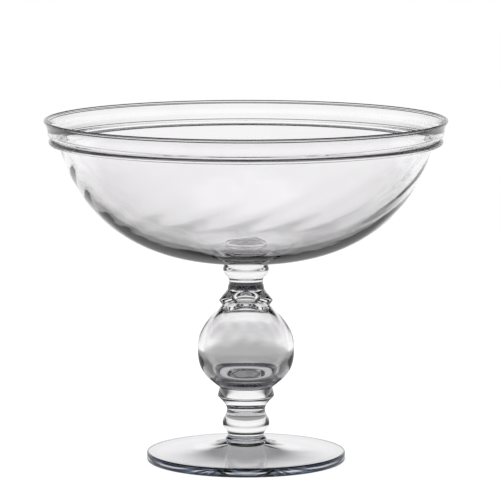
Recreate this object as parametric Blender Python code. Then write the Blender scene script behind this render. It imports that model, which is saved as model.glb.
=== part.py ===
"""A footed glass compote: a ribbed bowl with a stepped rim, on a turned stem and a disc foot.

Metres, +Z up. The origin is the centre of the ring that the foot rests on. Every piece is one gather of
glass, turned about Z, and stands on the piece below it across a narrow seam.
"""
import math

import bmesh
import bpy
from mathutils import Matrix

# Seams
JOIN_GAP = 0.0003           # left between two pieces that are fused while hot

# Foot
FOOT_RADIUS = 0.0668
FOOT_EDGE = 0.0060          # thickness of the foot at its rim
FOOT_ROUND = 0.0010         # rounding of the rim's two corners
FOOT_CROWN = 0.0066         # climb of the top face from the rim to the button
FOOT_DISH = 0.0066          # hollow under the foot, which keeps its glass about as thick all over
REST_WIDTH = 0.0060         # flat ring under the rim that carries the weight
PONTIL_RADIUS = 0.0115      # ground mark where the rod was broken off
PONTIL_DEPTH = 0.0009

# Stem radii where one piece meets the next, from the foot up
BUTTON_SEAT = 0.0132
LOWER_KNOP_SEAT = 0.0121
LOWER_MERESE_SEAT = 0.0127
BALL_SEAT = 0.0176
UPPER_MERESE_SEAT = 0.0159
BOWL_KNOP_SEAT = 0.0123
BOWL_SEAT = 0.0138

# Stem pieces: widest radius, height, and height of the widest place above the piece's own seat
BUTTON_RADIUS = 0.0139
BUTTON_HEIGHT = 0.0034
BUTTON_BELLY = 0.0014
LOWER_KNOP_RADIUS = 0.0157
LOWER_KNOP_HEIGHT = 0.0179
LOWER_KNOP_BELLY = 0.0085
LOWER_MERESE_RADIUS = 0.0191
LOWER_MERESE_HEIGHT = 0.0146
LOWER_MERESE_EDGE = 0.0090
BALL_RADIUS = 0.0325
BALL_HEIGHT = 0.0556
BALL_BELLY = 0.0268
UPPER_MERESE_RADIUS = 0.0182
UPPER_MERESE_HEIGHT = 0.0100
UPPER_MERESE_EDGE = 0.0031
BOWL_KNOP_RADIUS = 0.0154
BOWL_KNOP_HEIGHT = 0.0192
BOWL_KNOP_BELLY = 0.0138
BOWL_KNOP_NECK = 0.0114     # radius of the knop's neck
BOWL_KNOP_NECK_TOP = 0.0058

# Bubble blown into the ball, which narrows to a heel over a thick floor and rises by a neck into the merese
BALL_WALL = 0.0040
BALL_FLOOR = 0.0045
BUBBLE_BELLY = 0.0260       # height of the bubble's widest place above the ball's seat
BUBBLE_HEEL_RADIUS = 0.0195
BUBBLE_HEEL = 0.0060        # height of the heel above the ball's seat
BUBBLE_NECK_RADIUS = 0.0067
BUBBLE_RISE = 0.0062        # how far the bubble rises into the merese

# Bowl
BOWL_RADIUS = 0.1250
BOWL_HEIGHT = 0.0789
BOWL_WALL = 0.0034
BOWL_FLOOR = 0.0060

# Twisted ribs from the optic mould, on the bowl and on the ball
BOWL_RIBS = 20
BOWL_RIB_DEPTH = 0.0005
BOWL_RIB_START = 0.0625     # radius at which the ribs have come up to their full depth
BOWL_RIB_FADE = 0.0240      # height below the ledge over which the ribs fade away
BOWL_TWIST_DEG = 150
BALL_RIBS = 16
BALL_RIB_DEPTH = 0.0004
BALL_TWIST_DEG = 70

# Ledge and rim, each measured out from the piece that carries it
LEDGE_WIDTH = 0.0069        # how far the collar stands out past the bowl
COLLAR_HEIGHT = 0.0025
BAND_INSET = 0.0030         # from the collar's outer edge in to the foot of the band
BAND_SWELL = 0.0037         # how far the band swells out above its foot
BAND_BELLY = 0.0052         # height of the band's widest place above its foot
BAND_HEIGHT = 0.0134
BAND_WALL = 0.0028
LIP_FLARE = 0.0024          # how far the lip reaches out past the band
LIP_BEAD = 0.0018           # thickness of the fire-polished edge

# Curves, as the places of two handles in the box between a stretch's ends: (share of run, share of rise)
UPRIGHT_BOTH = ((0.0, 0.5), (1.0, 0.5))
LEVEL_TO_UPRIGHT = ((0.55, 0.0), (1.0, 0.45))
UPRIGHT_TO_SLANT = ((0.0, 0.5), (0.6, 0.75))
SLANT_TO_UPRIGHT = ((0.4, 0.25), (1.0, 0.5))
BOWL_SWEEP = ((0.55, 0.0), (0.89, 0.41))
FOOT_SWEEP = ((0.45, 0.12), (0.85, 0.35))
MERESE_FLANK = ((0.1, 0.4), (0.6, 0.7))
BALL_UNDERSIDE = ((0.71, 0.30), (1.0, 0.45))
BUBBLE_SHOULDER = ((0.55, 0.14), (1.0, 0.50))
BUBBLE_FLANK = ((0.0, 0.45), (0.7, 0.75))
BUBBLE_TURN = ((0.2, 0.7), (0.4, 1.0))
STRAIGHT = ((0.33, 0.33), (0.67, 0.67))

# Facets
STEM_FACES = 32
STEM_STEPS = 4
FOOT_FACES = 60
RIM_FACES = 64
FACES_PER_RIB = 4
SMOOTH_ANGLE = math.radians(32)

# Glass tints
CLEAR = (0.90, 0.92, 0.93)
COOL = (0.80, 0.84, 0.88)


def curve(start, end, handles, steps):
    """Points from start to end along a cubic curve, without the start itself."""
    run = end[0] - start[0]
    rise = end[1] - start[1]
    first, second = [(start[0] + run * a, start[1] + rise * b) for a, b in handles]
    points = []
    for step in range(1, steps + 1):
        t = step / steps
        shares = ((1 - t) ** 3, 3 * t * (1 - t) ** 2, 3 * t * t * (1 - t), t ** 3)
        stations = (start, first, second, end)
        points.append(tuple(sum(w * p[axis] for w, p in zip(shares, stations)) for axis in (0, 1)))
    return points


def arc(centre, radius, first, last, steps):
    """Points on an arc from angle first to angle last, both ends included."""
    angles = [first + (last - first) * step / steps for step in range(steps + 1)]
    return [(centre[0] + radius * math.cos(a), centre[1] + radius * math.sin(a)) for a in angles]


def glass(name, tint):
    material = bpy.data.materials.new(name)
    material.use_nodes = True
    shader = material.node_tree.nodes["Principled BSDF"]
    shader.inputs["Base Color"].default_value = (*tint, 1.0)
    shader.inputs["Roughness"].default_value = 0.02
    shader.inputs["Metallic"].default_value = 0.0
    shader.inputs["IOR"].default_value = 1.5
    shader.inputs["Transmission Weight"].default_value = 1.0
    return material


def turn(outline, faces, closed=False, rib_depths=None):
    """Spin an outline of (radius, height) once round Z, keeping each point's rib depth on its vertices."""
    shape = bmesh.new()
    depth_layer = shape.verts.layers.float.new("rib_depth")
    chain = [shape.verts.new((radius, 0.0, height)) for radius, height in outline]
    for vert, depth in zip(chain, rib_depths or [0.0] * len(chain)):
        vert[depth_layer] = depth
    pairs = list(zip(chain, chain[1:])) + ([(chain[-1], chain[0])] if closed else [])
    edges = [shape.edges.new(pair) for pair in pairs]
    bmesh.ops.spin(
        shape, geom=chain + edges, cent=(0, 0, 0), axis=(0, 0, 1), angle=math.tau, steps=faces, use_merge=True
    )
    bmesh.ops.remove_doubles(shape, verts=shape.verts, dist=1e-6)
    return shape


def rib(shape, count, twist):
    """Swell the surface into upright ribs by their depth, then wring it round Z as it climbs."""
    depth_layer = shape.verts.layers.float["rib_depth"]
    for vert in shape.verts:
        angle = math.atan2(vert.co.y, vert.co.x)
        radius = math.hypot(vert.co.x, vert.co.y)
        swell = vert[depth_layer] * (math.cos(count * angle) - 1) / 2
        if radius > 0:
            vert.co.xy *= (radius + swell) / radius
    for vert in shape.verts:
        vert.co = Matrix.Rotation(twist(vert.co), 3, "Z") @ vert.co
    bmesh.ops.triangulate(shape, faces=shape.faces, quad_method="SHORT_EDGE")


def finish(name, shape, base, tint, stand):
    """Make the shape a named piece of glass that stands at height base."""
    bmesh.ops.recalc_face_normals(shape, faces=shape.faces)
    mesh = bpy.data.meshes.new(name)
    shape.to_mesh(mesh)
    shape.free()
    mesh.shade_smooth()
    mesh.set_sharp_from_angle(angle=SMOOTH_ANGLE)
    mesh.materials.append(glass(name + "_glass", tint))
    piece = bpy.data.objects.new(name, mesh)
    piece.location.z = base
    piece.parent = stand
    bpy.context.collection.objects.link(piece)
    return piece


def ease(low, high, value):
    """Smooth step from 0 at low to 1 at high."""
    share = min(max((value - low) / (high - low), 0.0), 1.0)
    return share * share * (3 - 2 * share)


def make_foot(stand):
    height = FOOT_EDGE + FOOT_CROWN
    rest_outer = FOOT_RADIUS - FOOT_ROUND
    rest_inner = rest_outer - REST_WIDTH
    mark_edge = (PONTIL_RADIUS, FOOT_DISH)
    outline = [(0.0, FOOT_DISH + PONTIL_DEPTH)]
    outline += curve(outline[-1], mark_edge, LEVEL_TO_UPRIGHT, 2)
    outline += curve((rest_inner, 0.0), mark_edge, FOOT_SWEEP, 4)[-2::-1]
    outline.append((rest_inner, 0.0))
    outline += arc((rest_outer, FOOT_ROUND), FOOT_ROUND, -math.pi / 2, 0.0, 2)
    outline += arc((rest_outer, FOOT_EDGE - FOOT_ROUND), FOOT_ROUND, 0.0, math.pi / 2, 2)
    outline += curve(outline[-1], (BUTTON_SEAT, height), FOOT_SWEEP, 4)
    outline.append((0.0, height))
    finish("foot", turn(outline, FOOT_FACES), 0.0, COOL, stand)
    return height


def make_stem_piece(name, base, seat, stretches, stand, hollow=((0.0, 0.0),)):
    """A turned piece: any hollow in its lower seat, then each stretch's end and curve up to the top."""
    outline = [*hollow, (seat, 0.0)]
    for radius, height, handles in stretches:
        outline += curve(outline[-1], (radius, height), handles, STEM_STEPS)
    height = outline[-1][1]
    outline.append((0.0, height))
    finish(name, turn(outline, STEM_FACES), base, CLEAR, stand)
    return base + height + JOIN_GAP


def make_ball(base, stand):
    low, high = (BALL_SEAT, 0.0), (UPPER_MERESE_SEAT, BALL_HEIGHT)
    belly = (BALL_RADIUS, BALL_BELLY)
    outline = [(0.0, 0.0), low]
    outline += curve(low, belly, BALL_UNDERSIDE, 5)
    outline += curve(belly, high, UPRIGHT_TO_SLANT, 5)
    skin = range(2, len(outline) - 1)
    bubble_neck = (BUBBLE_NECK_RADIUS, BALL_HEIGHT)
    bubble_belly = (BALL_RADIUS - BALL_WALL, BUBBLE_BELLY)
    bubble_heel = (BUBBLE_HEEL_RADIUS, BUBBLE_HEEL)
    outline.append(bubble_neck)
    outline += curve(bubble_neck, bubble_belly, BUBBLE_SHOULDER, 4)
    outline += curve(bubble_belly, bubble_heel, BUBBLE_FLANK, 3)
    outline += curve(bubble_heel, (0.0, BALL_FLOOR), BUBBLE_TURN, 3)
    depths = [BALL_RIB_DEPTH if index in skin else 0.0 for index in range(len(outline))]
    shape = turn(outline, BALL_RIBS * FACES_PER_RIB, rib_depths=depths)
    rib(shape, BALL_RIBS, lambda place: math.radians(BALL_TWIST_DEG) * place.z / BALL_HEIGHT)
    finish("ball_knop", shape, base, CLEAR, stand)
    return base + BALL_HEIGHT + JOIN_GAP


def make_bowl(base, stand):
    seat, edge = (BOWL_SEAT, 0.0), (BOWL_RADIUS, BOWL_HEIGHT)
    inner_edge = (BOWL_RADIUS - BOWL_WALL, BOWL_HEIGHT)
    outer = [(0.0, 0.0), seat] + curve(seat, edge, BOWL_SWEEP, 20)
    inner_seat = (BOWL_SEAT, BOWL_FLOOR)
    inner = [(0.0, BOWL_FLOOR), inner_seat] + curve(inner_seat, inner_edge, BOWL_SWEEP, 8)
    depths = [0.0, 0.0]
    for radius, height in outer[2:]:
        swelling = ease(BOWL_SEAT, BOWL_RIB_START, radius)
        fading = ease(0.0, BOWL_RIB_FADE, BOWL_HEIGHT - height)
        depths.append(BOWL_RIB_DEPTH * swelling * fading)
    depths += [0.0] * len(inner)
    shape = turn(outer + inner[::-1], BOWL_RIBS * FACES_PER_RIB, rib_depths=depths)
    reach = math.hypot(BOWL_RADIUS, BOWL_HEIGHT)
    rib(shape, BOWL_RIBS, lambda place: math.radians(BOWL_TWIST_DEG) * place.length / reach)
    finish("bowl", shape, base, CLEAR, stand)
    return base + BOWL_HEIGHT + JOIN_GAP


def make_collar(base, stand):
    nose = COLLAR_HEIGHT / 2
    inside = BOWL_RADIUS - BOWL_WALL
    outline = [(inside, 0.0)]
    outline += arc((BOWL_RADIUS + LEDGE_WIDTH - nose, nose), nose, -math.pi / 2, math.pi / 2, 5)
    outline.append((inside, COLLAR_HEIGHT))
    finish("collar_ring", turn(outline, RIM_FACES, closed=True), base, CLEAR, stand)
    return base + COLLAR_HEIGHT + JOIN_GAP


def make_band(base, stand):
    foot_radius = BOWL_RADIUS + LEDGE_WIDTH - BAND_INSET
    belly_radius = foot_radius + BAND_SWELL
    bead = LIP_BEAD / 2
    bead_centre = (belly_radius + LIP_FLARE - bead, BAND_HEIGHT - bead)
    lip = arc(bead_centre, bead, -math.pi / 4, math.pi * 3 / 4, 4)
    inner_belly = (belly_radius - BAND_WALL, BAND_BELLY)
    outline = [(foot_radius, 0.0)]
    outline += curve(outline[-1], (belly_radius, BAND_BELLY), SLANT_TO_UPRIGHT, 3)
    outline += curve(outline[-1], lip[0], UPRIGHT_TO_SLANT, 3)
    outline += lip[1:]
    outline += curve(lip[-1], inner_belly, SLANT_TO_UPRIGHT, 3)
    outline += curve(inner_belly, (foot_radius - BAND_WALL, 0.0), UPRIGHT_TO_SLANT, 3)
    finish("rim_band", turn(outline, RIM_FACES, closed=True), base, CLEAR, stand)


def main():
    for thing in list(bpy.data.objects):
        bpy.data.objects.remove(thing)
    stand = bpy.data.objects.new("compote", None)
    bpy.context.collection.objects.link(stand)

    base = make_foot(stand) + JOIN_GAP
    base = make_stem_piece("foot_button", base, BUTTON_SEAT, [
        (BUTTON_RADIUS, BUTTON_BELLY, UPRIGHT_BOTH),
        (LOWER_KNOP_SEAT, BUTTON_HEIGHT, UPRIGHT_BOTH),
    ], stand)
    base = make_stem_piece("lower_knop", base, LOWER_KNOP_SEAT, [
        (LOWER_KNOP_RADIUS, LOWER_KNOP_BELLY, UPRIGHT_BOTH),
        (LOWER_MERESE_SEAT, LOWER_KNOP_HEIGHT, UPRIGHT_BOTH),
    ], stand)
    base = make_stem_piece("lower_merese", base, LOWER_MERESE_SEAT, [
        (LOWER_MERESE_RADIUS, LOWER_MERESE_EDGE, MERESE_FLANK),
        (BALL_SEAT, LOWER_MERESE_HEIGHT, STRAIGHT),
    ], stand)
    base = make_ball(base, stand)
    bubble_tip = (0.0, BUBBLE_RISE)
    tip_hollow = [bubble_tip] + curve(bubble_tip, (BUBBLE_NECK_RADIUS, 0.0), LEVEL_TO_UPRIGHT, STEM_STEPS)
    base = make_stem_piece("upper_merese", base, UPPER_MERESE_SEAT, [
        (UPPER_MERESE_RADIUS, UPPER_MERESE_EDGE, STRAIGHT),
        (BOWL_KNOP_SEAT, UPPER_MERESE_HEIGHT, STRAIGHT),
    ], stand, tip_hollow)
    base = make_stem_piece("bowl_knop", base, BOWL_KNOP_SEAT, [
        (BOWL_KNOP_NECK, BOWL_KNOP_NECK_TOP, UPRIGHT_BOTH),
        (BOWL_KNOP_RADIUS, BOWL_KNOP_BELLY, UPRIGHT_BOTH),
        (BOWL_SEAT, BOWL_KNOP_HEIGHT, UPRIGHT_BOTH),
    ], stand)
    base = make_bowl(base, stand)
    base = make_collar(base, stand)
    make_band(base, stand)


main()
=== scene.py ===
"""Looks of a clear glass compote: a blown bowl with twisted optic ribs, a turned stem and a disc foot.

Every piece is a closed glass mesh that meets its neighbour exactly. The faces where two gathers of glass
are fused are fully clear, so light goes from one piece to the next as through one body of glass. Three
joints low in the stem hold a thin dark sheet of painted shade.
"""
import math
from collections import namedtuple

import bpy
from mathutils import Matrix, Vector


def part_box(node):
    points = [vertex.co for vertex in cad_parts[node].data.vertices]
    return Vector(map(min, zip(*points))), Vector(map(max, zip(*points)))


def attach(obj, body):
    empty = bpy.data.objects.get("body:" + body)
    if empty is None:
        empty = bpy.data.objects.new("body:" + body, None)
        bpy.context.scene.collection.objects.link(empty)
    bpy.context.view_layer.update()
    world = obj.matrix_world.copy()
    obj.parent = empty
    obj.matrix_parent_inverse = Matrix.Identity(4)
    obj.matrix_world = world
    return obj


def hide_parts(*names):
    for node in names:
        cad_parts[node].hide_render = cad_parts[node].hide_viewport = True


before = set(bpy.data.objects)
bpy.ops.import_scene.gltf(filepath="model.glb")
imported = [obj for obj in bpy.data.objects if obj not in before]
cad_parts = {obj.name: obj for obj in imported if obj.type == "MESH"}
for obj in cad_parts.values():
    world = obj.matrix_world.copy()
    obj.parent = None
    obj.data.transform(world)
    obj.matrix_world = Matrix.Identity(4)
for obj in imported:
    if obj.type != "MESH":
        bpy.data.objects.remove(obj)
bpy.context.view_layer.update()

bl_info = {
    "name": "Glass compote",
    "version": (1, 0, 0),
    "blender": (4, 5, 0),
    "location": "View3D > Sidebar > Compote",
    "description": "Builds a clear glass footed compote with twisted optic ribs and a studio to see it in",
    "category": "Add Mesh",
}

BODY = "root"

# Facets of the turned meshes, and the angle over which an edge between facets is sharp
RIM_SEGMENTS = 288
STEM_SEGMENTS = 160
FOOT_SEGMENTS = 224
FLOOR_SEGMENTS = 96
SHARP_ANGLE = math.radians(30)

# Steps along the stretches of an outline
FOOT_MARK_STEPS = 12
FOOT_UNDER_STEPS = 30
FOOT_ROUND_STEPS = 8
FOOT_TOP_STEPS = 40
STEM_STEPS = 24
BALL_STEPS = 40
BOWL_OUTER_STEPS = 140
BOWL_INNER_STEPS = 80
LEDGE_STEPS = 20
BAND_STEPS = 14
LIP_STEPS = 16

# Radius under which a station is a pole, where a turned mesh has one point and not a ring
POLE_RADIUS = 1e-7

# Softening of the stem's outlines: length of a step, number of passes, and the fewest steps
POLISH_STEP = 0.00025
POLISH_PASSES = 4
POLISH_FEWEST = 4

# Curves, as the places of two handles in the box between a stretch's ends: (share of run, share of rise)
UPRIGHT_BOTH = ((0.0, 0.5), (1.0, 0.5))
LEVEL_TO_UPRIGHT = ((0.55, 0.0), (1.0, 0.45))
UPRIGHT_TO_SLANT = ((0.0, 0.5), (0.6, 0.75))
SLANT_TO_UPRIGHT = ((0.4, 0.25), (1.0, 0.5))
BOWL_SWEEP = ((0.55, 0.0), (0.89, 0.41))
FOOT_SWEEP = ((0.45, 0.12), (0.85, 0.35))
MERESE_FLANK = ((0.1, 0.4), (0.6, 0.7))
BALL_UNDERSIDE = ((0.71, 0.30), (1.0, 0.45))
BUBBLE_SHOULDER = ((0.55, 0.14), (1.0, 0.50))
BUBBLE_FLANK = ((0.0, 0.45), (0.7, 0.75))
BUBBLE_TURN = ((0.2, 0.7), (0.4, 1.0))
STRAIGHT = ((0.33, 0.33), (0.67, 0.67))

# A place on an outline, with the finish of the face that ends there, its share of the ribs' depth, and how
# far along the ribs it lies
Station = namedtuple("Station", "radius height joint rib run", defaults=(0, 0.0, 0.0))

# A painted shade line round a piece: its height, the radii that it lies between, half its width and its
# strength
PaintedShadeLine = namedtuple("PaintedShadeLine", "height inner outer half depth")

# A step from first to last, as a value goes from start to end
Ramp = namedtuple("Ramp", "start end first last", defaults=(0.0, 1.0))

# Numbers of a Mix node's colour sockets, since their names are shared with others: two inputs and the result
MIX_UNDER = 6
MIX_OVER = 7
MIX_RESULT = 2

# Finish of a face between two pieces, kept in a station's joint. Other faces have 0, the piece's own glass
CLEAR_JOINT = 1
# A joint face that holds a thin dark sheet of painted shade
PAINTED_SHADE_JOINT = 2

# Turned pieces of the stem whose upper joint is clear
CLEAR_TOPS = ("bowl_knop", "upper_merese")

# Ribs of the ball, along its height from 0 to 1: where they start, and how steeply they rise and fall
BALL_RIBS_FROM = 0.33
BALL_RIBS_RISE = 3
BALL_RIBS_FALL = 6

# How far the bowl's inner wall follows the ribs of its outer one
INNER_FOLLOW = 0.3

# Unevenness of the ribs: its grain on the bowl and on the ball, and how far ribs drift sideways
BOWL_GRAIN = 9.0
BALL_GRAIN = 30.0
DRIFT_REACH = 4.0

# Swing of the ribs' depth: how much finer its grain is, how far its seed is from the drift's, its reach
SWING_GRAIN = 1.6
SWING_SEED = 9.5
SWING_REACH = 2.0

# Clear glass: drift of its tint, cords and film on its skin, and the light that its shadow lets through
GLASS_IOR = 1.5
TINT_GRAIN = 18.0
TINT_DRIFT = Ramp(0.35, 0.65)
CORD_GRAIN = 42.0
CORD_STRETCH = (1.0, 1.0, 2.6)
CORD_STRENGTH = 0.12
CORD_DEPTH = 0.0006
FILM_GRAIN = 9.0
FILM_DRIFT = Ramp(0.5, 0.8)
FILM_ROUGHNESS = 0.012
SHADOW_TINT = (0.93, 0.94, 0.95, 1.0)

# Painted shade lines, dark where thick glass turns light away: colour, half widths until one has faded, and
# soft ends
SHADE_LINE_COLOUR = (0.004, 0.004, 0.006, 1.0)
SHADE_LINE_FADE = 1.6
SHADE_LINE_ENDS = 0.0002

# Places of those lines: below the lip's top, above the ball's joint, above the joint of the bowl's knop
LIP_LINE_DROP = 0.0003
BEAD_LINE_DROP = 0.0020
BALL_LINE_RISE = 0.0050
NECK_LINE_RISE = 0.0026

# Painted shade at the rim of the foot, in a cool dark colour: how far in it starts and is full, and the pale
# line round it where it is left out
EDGE_SHADE_START = 0.0016
EDGE_SHADE_FULL = 0.0006
PALE_HEIGHT = 0.0030
PALE_LINE = Ramp(0.0003, 0.0009, 0.6, 0.0)

# Painted shade in a joint, as a thin dark sheet: colour, roughness, cover from the middle out, and its
# patches
JOINT_SHADE_COLOUR = (0.020, 0.023, 0.030, 1.0)
JOINT_SHADE_ROUGHNESS = 0.6
JOINT_SHADE_COVER = Ramp(0.004, 0.012, 0.40, 0.60)
JOINT_SHADE_GRAIN = 160.0
JOINT_SHADE_PATCHES = Ramp(0.25, 0.65, 0.8, 1.1)

# Painted shade and light on the floor by radius, which only the glass sees: shadow under the foot, a bright
# ring round it, near and far
UNDER_FOOT = Ramp(0.015, 0.060, 0.46, 0.76)
UNDER_FOOT_END = Ramp(0.066, 0.072, 1.0, 0.0)
RING_START = Ramp(0.066, 0.070)
RING_END = Ramp(0.080, 0.095, 0.60, 0.02)
NEAR_FLOOR = Ramp(0.08, 0.18, 0.16, 0.40)
FAR_FLOOR = Ramp(0.35, 0.60, 0.0, 0.59)

# Floor for the camera: paper that also glows. The room's fill lights the paper
WHITE = (1.0, 1.0, 1.0, 1.0)
PAPER = (0.8, 0.8, 0.8, 1.0)
FLOOR_GLOW = 0.42
ROOM_FILL = 0.55

# White wall and lid of the room, as the glass sees them: degrees above the horizon, and tones
WALL = Ramp(10, 21, 1.0, 0.0)
LID = Ramp(60, 74, 0.0, 0.8)

# Lamp: width, power in watts, and place
LAMP_SIZE = 1.6
LAMP_POWER = 22.0
LAMP_PLACE = (-0.3, -0.2, 2.0)

# Camera: width of its sensor in millimetres, and how far it sees
SENSOR_WIDTH = 36.0
CAMERA_REACH = 60.0


def low(node):
    """Height of a CAD node's lowest point."""
    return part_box(node)[0].z


def high(node):
    """Height of a CAD node's highest point."""
    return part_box(node)[1].z


def wide(node):
    """Largest radius of a CAD node."""
    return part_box(node)[1].x


def seam(below, above):
    """Height of the joint between two CAD nodes, halfway across the gap that their solids keep."""
    return (high(below) + low(above)) / 2


def length(name, description, default):
    """A property that holds a length in metres."""
    return bpy.props.FloatProperty(
        name=name, description=description, default=default, min=0.0, precision=5, unit="LENGTH"
    )


def share(name, description, default, top=1.0):
    """A property that holds a plain factor."""
    return bpy.props.FloatProperty(name=name, description=description, default=default, min=0.0, max=top)


def number(name, description, default):
    """A property that holds a number of ribs."""
    return bpy.props.IntProperty(name=name, description=description, default=default, min=3)


def tint(name, description, default):
    """A property that holds a colour."""
    return bpy.props.FloatVectorProperty(
        name=name, description=description, default=default, size=3, min=0.0, max=1.0, subtype="COLOR"
    )


def turn_angle(name, description, degrees):
    """A property that holds an angle, given here in degrees."""
    return bpy.props.FloatProperty(
        name=name, description=description, default=math.radians(degrees), subtype="ANGLE"
    )


class CompoteSizes(bpy.types.PropertyGroup):
    """Sizes that the CAD boxes don't give: walls, joint radii and roundings."""

    foot_edge: length("Foot edge", "Thickness of the foot at its rim", 0.0060)
    foot_round: length("Foot rounding", "Rounding of the foot's rim", 0.0010)
    foot_dish: length("Foot dish", "Hollow under the foot", 0.0066)
    rest_width: length("Rest ring", "Width of the flat ring that the foot stands on", 0.0060)
    pontil_radius: length("Pontil mark", "Radius of the ground mark under the foot", 0.0115)
    pontil_depth: length("Pontil depth", "Depth of the ground mark", 0.0009)
    button_seat: length("Button joint", "Radius where the button meets the foot", 0.0132)
    lower_knop_seat: length("Lower knop joint", "Radius where the lower knop meets the button", 0.0121)
    lower_merese_seat: length("Lower merese joint", "Radius where the lower merese meets its knop", 0.0127)
    ball_seat: length("Ball joint", "Radius where the ball meets the lower merese", 0.0176)
    upper_merese_seat: length("Upper merese joint", "Radius where the upper merese meets the ball", 0.0159)
    bowl_knop_seat: length("Bowl knop joint", "Radius where the bowl's knop meets the merese", 0.0123)
    bowl_seat: length("Bowl joint", "Radius where the bowl meets its knop", 0.0138)
    bowl_knop_neck: length("Bowl knop neck", "Radius of the neck under the bowl's knop", 0.0114)
    button_belly: length("Button belly", "Height of the button's widest place above its joint", 0.0014)
    lower_knop_belly: length("Lower knop belly", "Height of the knop's widest place above its joint", 0.0085)
    lower_merese_edge: length("Lower merese edge", "Height of the merese's edge above its joint", 0.0090)
    ball_belly: length("Ball belly", "Height of the ball's widest place above its joint", 0.0268)
    upper_merese_edge: length("Upper merese edge", "Height of the merese's edge above its joint", 0.0031)
    neck_height: length("Bowl knop neck height", "Height of the neck above the knop's joint", 0.0058)
    bowl_knop_belly: length("Bowl knop belly", "Height of the knop's widest place above its joint", 0.0138)
    ball_radius: length("Ball radius", "Largest radius of the ball", 0.0325)
    ball_wall: length("Ball wall", "Glass beside the bubble in the ball", 0.0040)
    ball_floor: length("Ball floor", "Glass under the bubble in the ball", 0.0045)
    bubble_belly: length("Bubble belly", "Height of the bubble's widest place above the joint", 0.0260)
    heel_radius: length("Bubble heel", "Radius where the bubble's side turns into its floor", 0.0195)
    heel_height: length("Bubble heel height", "Height of the bubble's heel above the ball's joint", 0.0060)
    bubble_neck: length("Bubble neck", "Radius of the bubble where it enters the merese", 0.0067)
    bubble_rise: length("Bubble rise", "How far the bubble rises into the merese", 0.0062)
    bowl_radius: length("Bowl radius", "Radius of the bowl under the ledge", 0.1250)
    bowl_wall: length("Bowl wall", "Thickness of the bowl at its top", 0.0034)
    bowl_floor: length("Bowl floor", "Thickness of the bowl at its middle", 0.0060)
    band_wall: length("Band wall", "Thickness of the upright band", 0.0028)
    band_inset: length("Band inset", "From the ledge's outer edge in to the band's foot", 0.0030)
    band_swell: length("Band swell", "How far the band swells out above its foot", 0.0037)
    band_belly: length("Band belly", "Height of the band's widest place above its foot", 0.0052)
    lip_bead: length("Lip bead", "Thickness of the fire-polished edge", 0.0018)


class CompoteRibs(bpy.types.PropertyGroup):
    """The twisted ribs that the optic mould leaves in the bowl and in the ball."""

    bowl_count: number("Bowl ribs", "Ribs round the bowl", 20)
    bowl_depth: length("Bowl rib depth", "Height of a rib over the groove beside it", 0.00030)
    bowl_twist: turn_angle("Bowl twist", "Turn of a rib from the bottom of the bowl to the ledge", 150)
    bowl_start: length("Rib start", "Radius within which the bowl is smooth", 0.0900)
    bowl_full: length("Rib fullness", "Radius at which the bowl's ribs have their full depth", 0.1140)
    bowl_fade: length("Rib fade", "Height below the ledge over which the bowl's ribs fade away", 0.0150)
    ball_count: number("Ball ribs", "Ribs round the ball", 16)
    ball_depth: length("Ball rib depth", "Height of a rib over the groove beside it", 0.00005)
    ball_twist: turn_angle("Ball twist", "Turn of a rib from the bottom of the ball to its top", 70)
    wander: share("Wander", "How unevenly the ribs run, as on hand-blown glass", 0.6, 4.0)
    seed: bpy.props.IntProperty(name="Seed", description="Which unevenness is used", default=4)


class CompoteGlass(bpy.types.PropertyGroup):
    """Colours of the glass, and of the painted shade at the foot's rim."""

    clear: tint("Clear", "Colour of thin clear glass", (0.993, 0.986, 0.993))
    deep: tint("Deep", "Colour of thick clear glass", (0.975, 0.965, 0.976))
    foot_clear: tint("Foot", "Colour of thin glass in the foot", (0.968, 0.964, 0.988))
    foot_deep: tint("Deep foot", "Colour of thick glass in the foot", (0.945, 0.940, 0.970))
    # Painted shade at the rim of the foot, in a cool dark colour
    edge: tint("Foot edge", "Cool colour at the rim of the foot", (0.020, 0.030, 0.055))


class CompoteStage(bpy.types.PropertyGroup):
    """Camera and studio."""

    camera_back: length("Camera distance", "Camera's distance in front of the stem", 2.5048)
    camera_up: length("Camera height", "Camera's height above the floor", 0.4787)
    camera_side: length("Camera offset", "How far the camera stands to the right of the stem", 0.0027)
    camera_tilt: turn_angle("Camera tilt", "How far the camera looks down", 7.648)
    lens: bpy.props.FloatProperty(
        name="Lens", description="Focal length on a 36 mm sensor", default=271.3, unit="CAMERA"
    )
    floor_radius: length("Floor radius", "Radius of the pale floor", 1.2)
    room: share("Room", "Tone of the dim room above the white wall, as the glass shows it", 0.015)


class Wire:
    """A node socket that takes part in Python sums. Each sum adds a Math node."""

    def __init__(self, tree, socket):
        self.tree = tree
        self.socket = socket

    def sum(self, operation, *values):
        """Add a Math node that works on the given values."""
        return Bench(self.tree).add("ShaderNodeMath", {"operation": operation}, dict(enumerate(values)))

    def __add__(self, other):
        return self.sum("ADD", self, other)

    def __sub__(self, other):
        return self.sum("SUBTRACT", self, other)

    def __rsub__(self, other):
        return self.sum("SUBTRACT", other, self)

    def __mul__(self, other):
        return self.sum("MULTIPLY", self, other)

    __radd__ = __add__
    __rmul__ = __mul__


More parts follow.
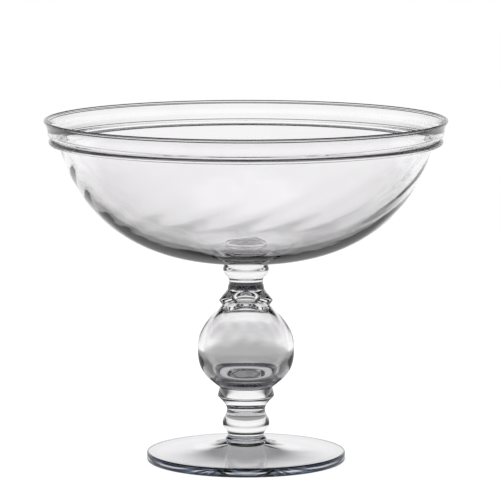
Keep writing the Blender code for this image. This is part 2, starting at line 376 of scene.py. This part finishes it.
class Bench:
    """A node tree, with one way to add a node: its type, its settings and the values of its sockets."""

    def __init__(self, tree):
        self.tree = tree

    def add(self, kind, settings=None, sockets=None, out=0):
        """Add a node. Return its output, by name or number, as a Wire, or the node if it has none."""
        node = self.tree.nodes.new(kind)
        for name, value in (settings or {}).items():
            setattr(node, name, value)
        for name, value in (sockets or {}).items():
            self.plug(value, node.inputs[name])
        return Wire(self.tree, node.outputs[out]) if node.outputs else node

    def plug(self, value, socket):
        """Link a Wire to a socket, or set a plain value on it."""
        if isinstance(value, Wire):
            self.tree.links.new(value.socket, socket)
        else:
            socket.default_value = value

    def outs(self, kind, names, settings=None, sockets=None):
        """Add a node and return several of its outputs."""
        first = self.add(kind, settings, sockets, names[0])
        node = first.socket.node
        return [Wire(self.tree, node.outputs[name]) for name in names]

    def ramp(self, value, ramp, blend="SMOOTHSTEP"):
        """A soft step from ramp.first, where value is ramp.start, to ramp.last, where it is ramp.end."""
        places = {"From Min": ramp.start, "From Max": ramp.end, "To Min": ramp.first, "To Max": ramp.last}
        return self.add("ShaderNodeMapRange", {"interpolation_type": blend}, {"Value": value, **places})

    def mix(self, share, under, over):
        """One colour laid over another by a share of 0 to 1."""
        colours = {"Factor": share, MIX_UNDER: under, MIX_OVER: over}
        return self.add("ShaderNodeMix", {"data_type": "RGBA"}, colours, MIX_RESULT)

    def noise(self, place, grain, **sockets):
        """Soft noise, from 0 to 1."""
        return self.add("ShaderNodeTexNoise", None, {"Vector": place, "Scale": grain, **sockets}, "Fac")


def away(x, y):
    """Distance of a place from the turning axis."""
    square = x * x + y * y
    return square.sum("SQRT", square)


def size_of(value):
    """A value without its sign."""
    return value.sum("ABSOLUTE", value)


def most(*shares):
    """The largest of several values."""
    first, *rest = shares
    for other in rest:
        first = first.sum("MAXIMUM", first, other)
    return first


def curve(start, end, handles, steps):
    """Stations from start to end along a cubic curve, without the start itself."""
    run = end[0] - start[0]
    rise = end[1] - start[1]
    first, second = [(start[0] + run * across, start[1] + rise * up) for across, up in handles]
    stations = []
    for step in range(1, steps + 1):
        t = step / steps
        weights = ((1 - t) ** 3, 3 * t * (1 - t) ** 2, 3 * t * t * (1 - t), t ** 3)
        pulls = list(zip(weights, (start, first, second, end)))
        radius, height = [sum(weight * place[axis] for weight, place in pulls) for axis in (0, 1)]
        stations.append(Station(radius, height))
    return stations


def arc(centre, radius, first, last, steps):
    """Stations on an arc from angle first to angle last, both ends included."""
    stations = []
    for step in range(steps + 1):
        angle = first + (last - first) * step / steps
        stations.append(Station(centre[0] + radius * math.cos(angle), centre[1] + radius * math.sin(angle)))
    return stations


def fire_polish(stations, spacing, passes):
    """Even out the steps along an open outline and soften its corners, with its ends kept."""
    points = [Vector((station.radius, station.height)) for station in stations]
    gaps = [(after - here).length for here, after in zip(points, points[1:])]
    total = sum(gaps)
    steps = max(POLISH_FEWEST, round(total / spacing))
    even = []
    index = 0
    walked = 0.0
    for step in range(steps + 1):
        target = total * step / steps
        while index < len(gaps) - 1 and walked + gaps[index] < target:
            walked += gaps[index]
            index += 1
        even.append(points[index].lerp(points[index + 1], min((target - walked) / gaps[index], 1.0)))
    for _ in range(passes):
        threes = zip(even, even[1:], even[2:])
        inner = [(before + here * 2 + after) / 4 for before, here, after in threes]
        even = [even[0], *inner, even[-1]]
    return [Station(point.x, point.y) for point in even]


def ease(value):
    """A soft step from 0 to 1."""
    value = min(max(value, 0.0), 1.0)
    return value * value * (3 - 2 * value)


def lathe(name, chain, segments, closed=False):
    """A mesh turned about Z from a chain of stations, with joint, rib and run kept as attributes."""
    verts, faces, joints, ribs, runs, rings = [], [], [], [], [], []
    for station in chain:
        pole = station.radius < POLE_RADIUS
        first = len(verts)
        for index in range(1 if pole else segments):
            angle = math.tau * index / segments
            x = station.radius * math.cos(angle)
            y = station.radius * math.sin(angle)
            verts.append((x, y, station.height))
            ribs.append(station.rib)
            runs.append(station.run)
        rings.append([first] * segments if pole else list(range(first, first + segments)))
    pairs = list(zip(rings, rings[1:], chain[1:]))
    if closed:
        pairs.append((rings[-1], rings[0], chain[0]))
    for lower, upper, station in pairs:
        for index in range(segments):
            after = (index + 1) % segments
            corners = [lower[index], lower[after], upper[after], upper[index]]
            faces.append(list(dict.fromkeys(corners)))
            joints.append(station.joint)
    mesh = bpy.data.meshes.new(name)
    mesh.from_pydata(verts, [], faces)
    mesh.attributes.new("joint", "INT", "FACE").data.foreach_set("value", joints)
    mesh.attributes.new("rib", "FLOAT", "POINT").data.foreach_set("value", ribs)
    mesh.attributes.new("run", "FLOAT", "POINT").data.foreach_set("value", runs)
    mesh.validate()
    return mesh


def rib_tree(glass, joint):
    """Geometry Nodes that swell a turned mesh into twisted, slightly uneven ribs."""
    tree = bpy.data.node_groups.new("Twisted optic ribs", "GeometryNodeTree")
    face = tree.interface
    face.new_socket("Geometry", in_out="INPUT", socket_type="NodeSocketGeometry")
    for label, kind in (
        ("Rib Count", "NodeSocketInt"), ("Rib Depth", "NodeSocketFloat"), ("Twist", "NodeSocketFloat"),
        ("Wander", "NodeSocketFloat"), ("Grain", "NodeSocketFloat"), ("Seed", "NodeSocketInt"),
    ):
        face.new_socket(label, in_out="INPUT", socket_type=kind)
    face.new_socket("Geometry", in_out="OUTPUT", socket_type="NodeSocketGeometry")
    bench = Bench(tree)
    shape, count, depth, twist, wander, grain, seed = bench.outs(
        "NodeGroupInput", ["Geometry", "Rib Count", "Rib Depth", "Twist", "Wander", "Grain", "Seed"]
    )
    place = bench.add("GeometryNodeInputPosition")
    normal = bench.add("GeometryNodeInputNormal")
    x, y = bench.outs("ShaderNodeSeparateXYZ", ["X", "Y"], None, {0: place})
    run, rib = [
        bench.add("GeometryNodeInputNamedAttribute", {"data_type": "FLOAT"}, {"Name": name}, "Attribute")
        for name in ("run", "rib")
    ]
    drift, swing = [
        bench.add(
            "ShaderNodeTexNoise",
            {"noise_dimensions": "4D"},
            {"Vector": place, "W": start, "Scale": scale, "Detail": 1.0},
            "Fac",
        )
        for start, scale in ((seed, grain), (seed + SWING_SEED, grain * SWING_GRAIN))
    ]
    angle = y.sum("ARCTAN2", y, x)
    phase = (angle - run * twist) * count + (drift - 0.5) * wander * DRIFT_REACH
    crest = (phase.sum("COSINE", phase) - 1.0) * 0.5
    swell = crest * depth * rib * (1.0 + (swing - 0.5) * wander * SWING_REACH)
    shift = bench.add("ShaderNodeVectorMath", {"operation": "SCALE"}, {0: normal, "Scale": swell})
    moved = bench.add("GeometryNodeSetPosition", None, {"Geometry": shape, "Offset": shift})
    whole = bench.add("GeometryNodeRealizeInstances", None, {0: moved})
    clad = bench.add("GeometryNodeSetMaterial", None, {"Geometry": whole, "Material": glass})
    fused = bench.add(
        "GeometryNodeInputNamedAttribute", {"data_type": "BOOLEAN"}, {"Name": "joint"}, "Attribute"
    )
    done = bench.add(
        "GeometryNodeSetMaterial", None, {"Geometry": clad, "Selection": fused, "Material": joint}
    )
    bench.add("NodeGroupOutput", None, {0: done})
    return tree


def set_inputs(modifier, values):
    """Set a Geometry Nodes modifier's inputs, named as in its tree."""
    for item in modifier.node_group.interface.items_tree:
        if item.in_out == "INPUT" and item.name in values:
            modifier[item.identifier] = values[item.name]


def rib_piece(piece, glass, joint, values):
    """Run the rib tree on a turned piece and keep the result as its plain mesh."""
    modifier = piece.modifiers.new("ribs", "NODES")
    modifier.node_group = rib_tree(glass, joint)
    set_inputs(modifier, values)
    graph = bpy.context.evaluated_depsgraph_get()
    made = bpy.data.meshes.new_from_object(piece.evaluated_get(graph))
    piece.modifiers.remove(modifier)
    piece.data = made
    made.name = piece.name


def place_piece(name, mesh, glass, node, ribs=None):
    """Put a turned mesh in the scene as the piece that stands for a CAD node."""
    piece = bpy.data.objects.new(name, mesh)
    bpy.context.scene.collection.objects.link(piece)
    if ribs:
        rib_piece(piece, glass, joint_finish(), ribs)
    else:
        for finish in (glass, joint_finish(), joint_shade_finish()):
            mesh.materials.append(finish)
        mesh.polygons.foreach_set("material_index", [kind.value for kind in mesh.attributes["joint"].data])
    made = piece.data
    made.shade_smooth()
    made.set_sharp_from_angle(angle=SHARP_ANGLE)
    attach(piece, BODY)
    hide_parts(node)


def new_finish(name):
    """An empty material, with the bench of its node tree."""
    material = bpy.data.materials.new(name)
    material.use_nodes = True
    material.node_tree.nodes.clear()
    return material, Bench(material.node_tree)


def glass_finish(name, thin, thick, edge=None, shade_lines=()):
    """Clear blown glass: faint cords in its skin, a drifting tint, painted shade lines where light turns
    away, and painted shade at the foot's rim.
    """
    found = bpy.data.materials.get(name)
    if found:
        return found
    material, bench = new_finish(name)
    place = bench.add("ShaderNodeTexCoord", None, None, "Object")
    x, y, z = bench.outs("ShaderNodeSeparateXYZ", ["X", "Y", "Z"], None, {0: place})
    radius = away(x, y)
    drift = bench.ramp(bench.noise(place, TINT_GRAIN, Detail=2.0), TINT_DRIFT)
    colour = bench.mix(drift, (*thin, 1.0), (*thick, 1.0))
    # Each line paints shade into the glass's colour
    for shade_line in shade_lines:
        line = Ramp(shade_line.half, SHADE_LINE_FADE * shade_line.half, shade_line.depth, 0.0)
        begin = Ramp(shade_line.inner, shade_line.inner + SHADE_LINE_ENDS)
        end = Ramp(shade_line.outer - SHADE_LINE_ENDS, shade_line.outer, 1.0, 0.0)
        ring = bench.ramp(radius, begin) * bench.ramp(radius, end)
        share_of_line = bench.ramp(size_of(z - shade_line.height), line) * ring
        colour = bench.mix(share_of_line, colour, SHADE_LINE_COLOUR)
    # Painted shade at the foot's rim, in a cool dark colour, left out along a pale line round it
    if edge:
        rim = bench.ramp(radius, Ramp(wide("foot") - EDGE_SHADE_START, wide("foot") - EDGE_SHADE_FULL))
        pale = bench.ramp(size_of(z - PALE_HEIGHT), PALE_LINE)
        colour = bench.mix(rim * (1.0 - pale), colour, (*edge, 1.0))
    stretched = bench.add("ShaderNodeMapping", None, {"Vector": place, "Scale": CORD_STRETCH})
    cords = bench.noise(stretched, CORD_GRAIN, Detail=1.5)
    bump = bench.add(
        "ShaderNodeBump", None, {"Strength": CORD_STRENGTH, "Distance": CORD_DEPTH, "Height": cords}
    )
    film = bench.ramp(bench.noise(place, FILM_GRAIN), FILM_DRIFT)
    shader = bench.add(
        "ShaderNodeBsdfPrincipled",
        None,
        {
            "Base Color": colour, "Roughness": film * FILM_ROUGHNESS, "Metallic": 0.0, "IOR": GLASS_IOR,
            "Transmission Weight": 1.0, "Normal": bump,
        },
    )
    lamp_ray = bench.add("ShaderNodeLightPath", None, None, "Is Shadow Ray")
    see_through = bench.add("ShaderNodeBsdfTransparent", None, {"Color": SHADOW_TINT})
    mixed = bench.add("ShaderNodeMixShader", None, {0: lamp_ray, 1: shader, 2: see_through})
    bench.add("ShaderNodeOutputMaterial", None, {"Surface": mixed})
    return material


def joint_finish():
    """Fused glass between two gathers: nothing shows there, so the face is fully clear."""
    found = bpy.data.materials.get("fused_joint")
    if found:
        return found
    material, bench = new_finish("fused_joint")
    shader = bench.add("ShaderNodeBsdfPrincipled", None, {"Base Color": WHITE, "Alpha": 0.0})
    bench.add("ShaderNodeOutputMaterial", None, {"Surface": shader})
    return material


def joint_shade_finish():
    """A thin dark sheet of painted shade in a joint, where two gathers of the stem were pressed together."""
    found = bpy.data.materials.get("joint_painted_shade")
    if found:
        return found
    material, bench = new_finish("joint_painted_shade")
    place = bench.add("ShaderNodeTexCoord", None, None, "Object")
    x, y = bench.outs("ShaderNodeSeparateXYZ", ["X", "Y"], None, {0: place})
    shade_patches = bench.ramp(bench.noise(place, JOINT_SHADE_GRAIN, Detail=2.0), JOINT_SHADE_PATCHES)
    shade_cover = bench.ramp(away(x, y), JOINT_SHADE_COVER) * shade_patches
    shader = bench.add(
        "ShaderNodeBsdfPrincipled",
        None,
        {
            "Base Color": JOINT_SHADE_COLOUR, "Roughness": JOINT_SHADE_ROUGHNESS,
            "Specular IOR Level": 0.0, "Alpha": shade_cover,
        },
    )
    bench.add("ShaderNodeOutputMaterial", None, {"Surface": shader})
    return material


def bowl_glass(look):
    """Glass of the bowl, with painted shade lines at both edges of the ledge and two at the lip."""
    lip = high("rim_band")
    return glass_finish("clear_bowl_glass", look.clear, look.deep, shade_lines=(
        PaintedShadeLine(height=seam("collar_ring", "rim_band"), inner=0.1275, outer=0.1320, half=0.00032, depth=0.96),
        PaintedShadeLine(height=seam("bowl", "collar_ring"), inner=0.1200, outer=0.1225, half=0.00026, depth=1.0),
        PaintedShadeLine(height=lip - LIP_LINE_DROP, inner=0.1325, outer=0.1360, half=0.00025, depth=0.985),
        PaintedShadeLine(height=lip - BEAD_LINE_DROP, inner=0.1315, outer=0.1360, half=0.00019, depth=0.985),
    ))


def stem_glass(look):
    """Glass of the stem, with painted shade lines at the base of the ball and on the neck under the bowl."""
    ball_base = seam("lower_merese", "ball_knop") + BALL_LINE_RISE
    neck = seam("upper_merese", "bowl_knop") + NECK_LINE_RISE
    return glass_finish("clear_stem_glass", look.clear, look.deep, shade_lines=(
        PaintedShadeLine(height=ball_base, inner=0.0205, outer=0.0280, half=0.0014, depth=1.0),
        PaintedShadeLine(height=neck, inner=0.0100, outer=0.0135, half=0.0015, depth=1.0),
    ))


def foot_glass(look):
    """Glass of the foot, a little bluer, with painted shade in a cool dark colour at its rim."""
    return glass_finish("clear_foot_glass", look.foot_clear, look.foot_deep, look.edge)


class COMPOTE_OT_foot(bpy.types.Operator):
    """Turn the disc foot, with its hollow underside and ground pontil mark"""

    bl_idname = "compote.foot"
    bl_label = "Make foot"

    def execute(self, context):
        size = context.scene.compote_sizes
        top = seam("foot", "foot_button")
        rest_outer = wide("foot") - size.foot_round
        rest_inner = rest_outer - size.rest_width
        mark = (size.pontil_radius, size.foot_dish)
        centre = (0.0, size.foot_dish + size.pontil_depth)
        chain = [Station(*centre)]
        chain += curve(centre, mark, LEVEL_TO_UPRIGHT, FOOT_MARK_STEPS)
        chain += curve((rest_inner, 0.0), mark, FOOT_SWEEP, FOOT_UNDER_STEPS)[-2::-1]
        chain.append(Station(rest_inner, 0.0))
        lower_corner = (rest_outer, size.foot_round)
        chain += arc(lower_corner, size.foot_round, -math.pi / 2, 0.0, FOOT_ROUND_STEPS)
        upper_corner = (rest_outer, size.foot_edge - size.foot_round)
        chain += arc(upper_corner, size.foot_round, 0.0, math.pi / 2, FOOT_ROUND_STEPS)
        chain += curve(chain[-1], (size.button_seat, top), FOOT_SWEEP, FOOT_TOP_STEPS)
        chain.append(Station(0.0, top, CLEAR_JOINT))
        mesh = lathe("foot_disc", chain, FOOT_SEGMENTS)
        glass = foot_glass(context.scene.compote_glass)
        place_piece("foot_disc", mesh, glass, "foot")
        return {"FINISHED"}


class COMPOTE_OT_stem(bpy.types.Operator):
    """Turn the solid pieces of the stem: button, knops and mereses"""

    bl_idname = "compote.stem"
    bl_label = "Make stem pieces"

    def execute(self, context):
        size = context.scene.compote_sizes
        glass = stem_glass(context.scene.compote_glass)
        floor = seam("foot", "foot_button")
        button_top = seam("foot_button", "lower_knop")
        knop_top = seam("lower_knop", "lower_merese")
        merese_top = seam("lower_merese", "ball_knop")
        ball_top = seam("ball_knop", "upper_merese")
        flange_top = seam("upper_merese", "bowl_knop")
        bowl_bottom = seam("bowl_knop", "bowl")
        turned = {
            "foot_button": ((size.button_seat, floor), [
                (wide("foot_button"), floor + size.button_belly, UPRIGHT_BOTH),
                (size.lower_knop_seat, button_top, UPRIGHT_BOTH),
            ]),
            "lower_knop": ((size.lower_knop_seat, button_top), [
                (wide("lower_knop"), button_top + size.lower_knop_belly, UPRIGHT_BOTH),
                (size.lower_merese_seat, knop_top, UPRIGHT_BOTH),
            ]),
            "lower_merese": ((size.lower_merese_seat, knop_top), [
                (wide("lower_merese"), knop_top + size.lower_merese_edge, MERESE_FLANK),
                (size.ball_seat, merese_top, STRAIGHT),
            ]),
            "upper_merese": ((size.upper_merese_seat, ball_top), [
                (wide("upper_merese"), ball_top + size.upper_merese_edge, STRAIGHT),
                (size.bowl_knop_seat, flange_top, STRAIGHT),
            ]),
            "bowl_knop": ((size.bowl_knop_seat, flange_top), [
                (size.bowl_knop_neck, flange_top + size.neck_height, UPRIGHT_BOTH),
                (wide("bowl_knop"), flange_top + size.bowl_knop_belly, UPRIGHT_BOTH),
                (size.bowl_seat, bowl_bottom, UPRIGHT_BOTH),
            ]),
        }
        for node, (seat, stretches) in turned.items():
            skin = [Station(*seat)]
            for radius, height, handles in stretches:
                skin += curve(skin[-1], (radius, height), handles, STEM_STEPS)
            skin = fire_polish(skin, POLISH_STEP, POLISH_PASSES)
            bottom, top = skin[0], skin[-1]
            chain = [Station(0.0, bottom.height)]
            if node == "upper_merese":
                chain = [Station(0.0, ball_top + size.bubble_rise)]
                chain += curve(chain[0], (size.bubble_neck, ball_top), LEVEL_TO_UPRIGHT, STEM_STEPS)
            # The other tops hold a thin dark sheet of painted shade
            seal = CLEAR_JOINT if node in CLEAR_TOPS else PAINTED_SHADE_JOINT
            chain += [bottom._replace(joint=CLEAR_JOINT), *skin[1:], Station(0.0, top.height, seal)]
            mesh = lathe(node + "_glass", chain, STEM_SEGMENTS)
            place_piece(node + "_glass", mesh, glass, node)
        return {"FINISHED"}


class COMPOTE_OT_ball(bpy.types.Operator):
    """Blow the ribbed ball with the bubble inside it"""

    bl_idname = "compote.ball"
    bl_label = "Make ball knop"

    def execute(self, context):
        size = context.scene.compote_sizes
        ribs = context.scene.compote_ribs
        bottom = seam("lower_merese", "ball_knop")
        top = seam("ball_knop", "upper_merese")
        belly = (size.ball_radius, bottom + size.ball_belly)
        skin = [Station(size.ball_seat, bottom)]
        skin += curve(skin[-1], belly, BALL_UNDERSIDE, BALL_STEPS)
        skin += curve(belly, (size.upper_merese_seat, top), UPRIGHT_TO_SLANT, BALL_STEPS)
        rise = top - bottom
        bubble_neck = (size.bubble_neck, top)
        bubble_belly = (belly[0] - size.ball_wall, bottom + size.bubble_belly)
        heel = (size.heel_radius, bottom + size.heel_height)
        bubble = [Station(*bubble_neck, CLEAR_JOINT)]
        bubble += curve(bubble_neck, bubble_belly, BUBBLE_SHOULDER, BALL_STEPS)
        bubble += curve(bubble_belly, heel, BUBBLE_FLANK, BALL_STEPS)
        bubble += curve(heel, (0.0, bottom + size.ball_floor), BUBBLE_TURN, STEM_STEPS)
        chain = [Station(0.0, bottom), skin[0]._replace(joint=CLEAR_JOINT)]
        for station in skin[1:]:
            along = (station.height - bottom) / rise
            weight = min(1.0, BALL_RIBS_RISE * (along - BALL_RIBS_FROM), BALL_RIBS_FALL * (1 - along))
            chain.append(station._replace(rib=max(0.0, weight), run=along))
        chain += bubble
        mesh = lathe("ball_knop_glass", chain, STEM_SEGMENTS)
        values = {
            "Rib Count": ribs.ball_count, "Rib Depth": ribs.ball_depth, "Twist": ribs.ball_twist,
            "Wander": ribs.wander, "Grain": BALL_GRAIN, "Seed": ribs.seed,
        }
        glass = stem_glass(context.scene.compote_glass)
        place_piece("ball_knop_glass", mesh, glass, "ball_knop", values)
        return {"FINISHED"}


class COMPOTE_OT_bowl(bpy.types.Operator):
    """Blow the bowl with its twisted optic ribs"""

    bl_idname = "compote.bowl"
    bl_label = "Make bowl"

    def execute(self, context):
        size = context.scene.compote_sizes
        ribs = context.scene.compote_ribs
        bottom = seam("bowl_knop", "bowl")
        top = seam("bowl", "collar_ring")
        seat = (size.bowl_seat, bottom)
        edge = (size.bowl_radius, top)
        inner_seat = (size.bowl_seat, bottom + size.bowl_floor)
        inner_edge = (size.bowl_radius - size.bowl_wall, top)
        outer = curve(seat, edge, BOWL_SWEEP, BOWL_OUTER_STEPS)
        inner = [Station(*inner_edge, CLEAR_JOINT)]
        inner += curve(inner_seat, inner_edge, BOWL_SWEEP, BOWL_INNER_STEPS)[-2::-1]
        inner += [Station(*inner_seat), Station(0.0, inner_seat[1])]
        reach = math.hypot(size.bowl_radius, top - bottom)
        chain = [Station(0.0, bottom), Station(*seat, CLEAR_JOINT)]
        for wall, follow in ((outer, 1.0), (inner, -INNER_FOLLOW)):
            for station in wall:
                along = math.hypot(station.radius, station.height - bottom) / reach
                rising = ease((station.radius - ribs.bowl_start) / (ribs.bowl_full - ribs.bowl_start))
                fading = ease((top - station.height) / ribs.bowl_fade)
                chain.append(station._replace(run=along, rib=follow * (rising * fading)))
        mesh = lathe("bowl_glass", chain, RIM_SEGMENTS)
        values = {
            "Rib Count": ribs.bowl_count, "Rib Depth": ribs.bowl_depth, "Twist": ribs.bowl_twist,
            "Wander": ribs.wander, "Grain": BOWL_GRAIN, "Seed": ribs.seed,
        }
        glass = bowl_glass(context.scene.compote_glass)
        place_piece("bowl_glass", mesh, glass, "bowl", values)
        return {"FINISHED"}


class COMPOTE_OT_rim(bpy.types.Operator):
    """Make the ledge ring and the upright band with its flared lip"""

    bl_idname = "compote.rim"
    bl_label = "Make ledge and rim"

    def execute(self, context):
        size = context.scene.compote_sizes
        glass = bowl_glass(context.scene.compote_glass)
        ledge_bottom = seam("bowl", "collar_ring")
        ledge_top = seam("collar_ring", "rim_band")
        bowl_edge = size.bowl_radius
        inside = bowl_edge - size.bowl_wall
        nose = (ledge_top - ledge_bottom) / 2
        nose_centre = (wide("collar_ring") - nose, ledge_bottom + nose)
        band_foot = wide("collar_ring") - size.band_inset
        ring = [Station(inside, ledge_top), Station(inside, ledge_bottom)]
        ring.append(Station(bowl_edge, ledge_bottom, CLEAR_JOINT))
        ring += arc(nose_centre, nose, -math.pi / 2, math.pi / 2, LEDGE_STEPS)
        ring += [Station(band_foot, ledge_top), Station(band_foot - size.band_wall, ledge_top, CLEAR_JOINT)]
        mesh = lathe("ledge_ring", ring, RIM_SEGMENTS, closed=True)
        place_piece("ledge_ring", mesh, glass, "collar_ring")

        belly = (band_foot + size.band_swell, ledge_top + size.band_belly)
        inner_belly = (belly[0] - size.band_wall, belly[1])
        inner_foot = (band_foot - size.band_wall, ledge_top)
        bead = size.lip_bead / 2
        bead_centre = (wide("rim_band") - bead, high("rim_band") - bead)
        lip = arc(bead_centre, bead, -math.pi / 4, math.pi * 3 / 4, LIP_STEPS)
        band = [Station(band_foot, ledge_top, CLEAR_JOINT)]
        band += curve(band[-1], belly, SLANT_TO_UPRIGHT, BAND_STEPS)
        band += curve(belly, lip[0], UPRIGHT_TO_SLANT, BAND_STEPS)
        band += lip[1:]
        band += curve(lip[-1], inner_belly, SLANT_TO_UPRIGHT, BAND_STEPS)
        band += curve(inner_belly, inner_foot, UPRIGHT_TO_SLANT, BAND_STEPS)
        mesh = lathe("lip_band", band, RIM_SEGMENTS, closed=True)
        place_piece("lip_band", mesh, glass, "rim_band")
        return {"FINISHED"}


def seen_by(bench):
    """Whether a ray comes from the camera, and whether it comes from the glass, off it or through it."""
    camera, glossy, passing = bench.outs(
        "ShaderNodeLightPath", ["Is Camera Ray", "Is Glossy Ray", "Is Transmission Ray"]
    )
    return camera, most(glossy, passing)


def floor_finish():
    """Pale floor, white to the camera, with the object's shadow. Glass sees painted shade and light on it:
    grey near, white far off.
    """
    material, bench = new_finish("pale_floor")
    place = bench.add("ShaderNodeTexCoord", None, None, "Object")
    x, y = bench.outs("ShaderNodeSeparateXYZ", ["X", "Y"], None, {0: place})
    radius = away(x, y)
    # Painted shade and light, seen only through the glass: shadow under the foot, darker towards the stem,
    # and a bright ring round it
    under = bench.ramp(radius, UNDER_FOOT) * bench.ramp(radius, UNDER_FOOT_END)
    ring = bench.ramp(radius, RING_START) * bench.ramp(radius, RING_END)
    sweep = bench.ramp(radius, FAR_FLOOR, "LINEAR") + bench.ramp(radius, NEAR_FLOOR)
    tone = most(sweep, ring, under)
    paper = bench.add("ShaderNodeBsdfDiffuse", None, {"Color": PAPER})
    glow = bench.add("ShaderNodeEmission", None, {"Color": WHITE, "Strength": FLOOR_GLOW})
    lit = bench.add("ShaderNodeAddShader", None, {0: paper, 1: glow})
    through = bench.add("ShaderNodeEmission", None, {"Color": tone, "Strength": 1.0})
    camera, in_glass = seen_by(bench)
    plain = bench.add("ShaderNodeMixShader", None, {0: camera, 1: paper, 2: lit})
    surface = bench.add("ShaderNodeMixShader", None, {0: in_glass, 1: plain, 2: through})
    bench.add("ShaderNodeOutputMaterial", None, {"Surface": surface})
    return material


def above_horizon(band):
    """A ramp over degrees above the horizon, as one over the height of a direction."""
    return band._replace(start=math.sin(math.radians(band.start)), end=math.sin(math.radians(band.end)))


def studio_world(stage):
    """White to the camera. Glass sees a white wall all round, a dim room above it and a pale lid."""
    world = bpy.data.worlds.new("studio")
    world.use_nodes = True
    world.node_tree.nodes.clear()
    bench = Bench(world.node_tree)
    way = bench.add("ShaderNodeTexCoord", None, None, "Generated")
    z = bench.add("ShaderNodeSeparateXYZ", None, {0: way}, "Z")
    backdrop = most(bench.ramp(z, above_horizon(WALL)), bench.ramp(z, above_horizon(LID)))
    room = backdrop * (1.0 - stage.room) + stage.room
    camera, in_glass = seen_by(bench)
    around = in_glass * room + (1.0 - in_glass) * ROOM_FILL
    tone = camera + (1.0 - camera) * around
    light = bench.add("ShaderNodeBackground", None, {"Color": tone, "Strength": 1.0})
    bench.add("ShaderNodeOutputWorld", None, {"Surface": light})
    return world


class COMPOTE_OT_stage(bpy.types.Operator):
    """Set the floor, the studio light and the camera"""

    bl_idname = "compote.stage"
    bl_label = "Set stage"

    def execute(self, context):
        scene = context.scene
        stage = scene.compote_stage
        scene.view_settings.view_transform = "Standard"
        scene.world = studio_world(stage)

        mesh = lathe("floor", [Station(0.0, 0.0), Station(stage.floor_radius, 0.0)], FLOOR_SEGMENTS)
        mesh.flip_normals()
        mesh.materials.append(floor_finish())
        floor = bpy.data.objects.new("floor", mesh)
        scene.collection.objects.link(floor)

        lamp = bpy.data.lights.new("overhead_softbox", "AREA")
        lamp.shape = "DISK"
        lamp.size = LAMP_SIZE
        lamp.energy = LAMP_POWER
        softbox = bpy.data.objects.new("overhead_softbox", lamp)
        softbox.location = LAMP_PLACE
        softbox.visible_glossy = False
        softbox.visible_transmission = False
        scene.collection.objects.link(softbox)

        lens = bpy.data.cameras.new("photo_view")
        lens.lens = stage.lens
        lens.sensor_width = SENSOR_WIDTH
        lens.clip_end = CAMERA_REACH
        camera = bpy.data.objects.new("photo_view", lens)
        camera.location = (stage.camera_side, -stage.camera_back, stage.camera_up)
        camera.rotation_euler = (math.pi / 2 - stage.camera_tilt, 0.0, 0.0)
        scene.collection.objects.link(camera)
        scene.camera = camera
        return {"FINISHED"}


OPERATORS = (
    COMPOTE_OT_foot, COMPOTE_OT_stem, COMPOTE_OT_ball, COMPOTE_OT_bowl, COMPOTE_OT_rim, COMPOTE_OT_stage
)
GROUPS = {
    "compote_sizes": CompoteSizes, "compote_ribs": CompoteRibs,
    "compote_glass": CompoteGlass, "compote_stage": CompoteStage,
}


class COMPOTE_PT_panel(bpy.types.Panel):
    """Sizes, finishes and steps of the glass compote"""

    bl_idname = "COMPOTE_PT_panel"
    bl_label = "Glass compote"
    bl_space_type = "VIEW_3D"
    bl_region_type = "UI"
    bl_category = "Compote"

    def draw(self, context):
        for operator in OPERATORS:
            self.layout.operator(operator.bl_idname)
        for attribute, group in GROUPS.items():
            box = self.layout.box()
            for name in group.__annotations__:
                box.prop(getattr(context.scene, attribute), name)


CLASSES = (*GROUPS.values(), *OPERATORS, COMPOTE_PT_panel)


def register():
    """Make the classes known, and give each scene its settings."""
    for each in CLASSES:
        bpy.utils.register_class(each)
    for attribute, group in GROUPS.items():
        setattr(bpy.types.Scene, attribute, bpy.props.PointerProperty(type=group))


def unregister():
    """Take the settings and the classes away again."""
    for attribute in GROUPS:
        delattr(bpy.types.Scene, attribute)
    for each in reversed(CLASSES):
        bpy.utils.unregister_class(each)


def main():
    """Build every piece and the stage."""
    register()
    bpy.ops.compote.foot()
    bpy.ops.compote.stem()
    bpy.ops.compote.ball()
    bpy.ops.compote.bowl()
    bpy.ops.compote.rim()
    bpy.ops.compote.stage()


if __name__ == "__main__":
    main()
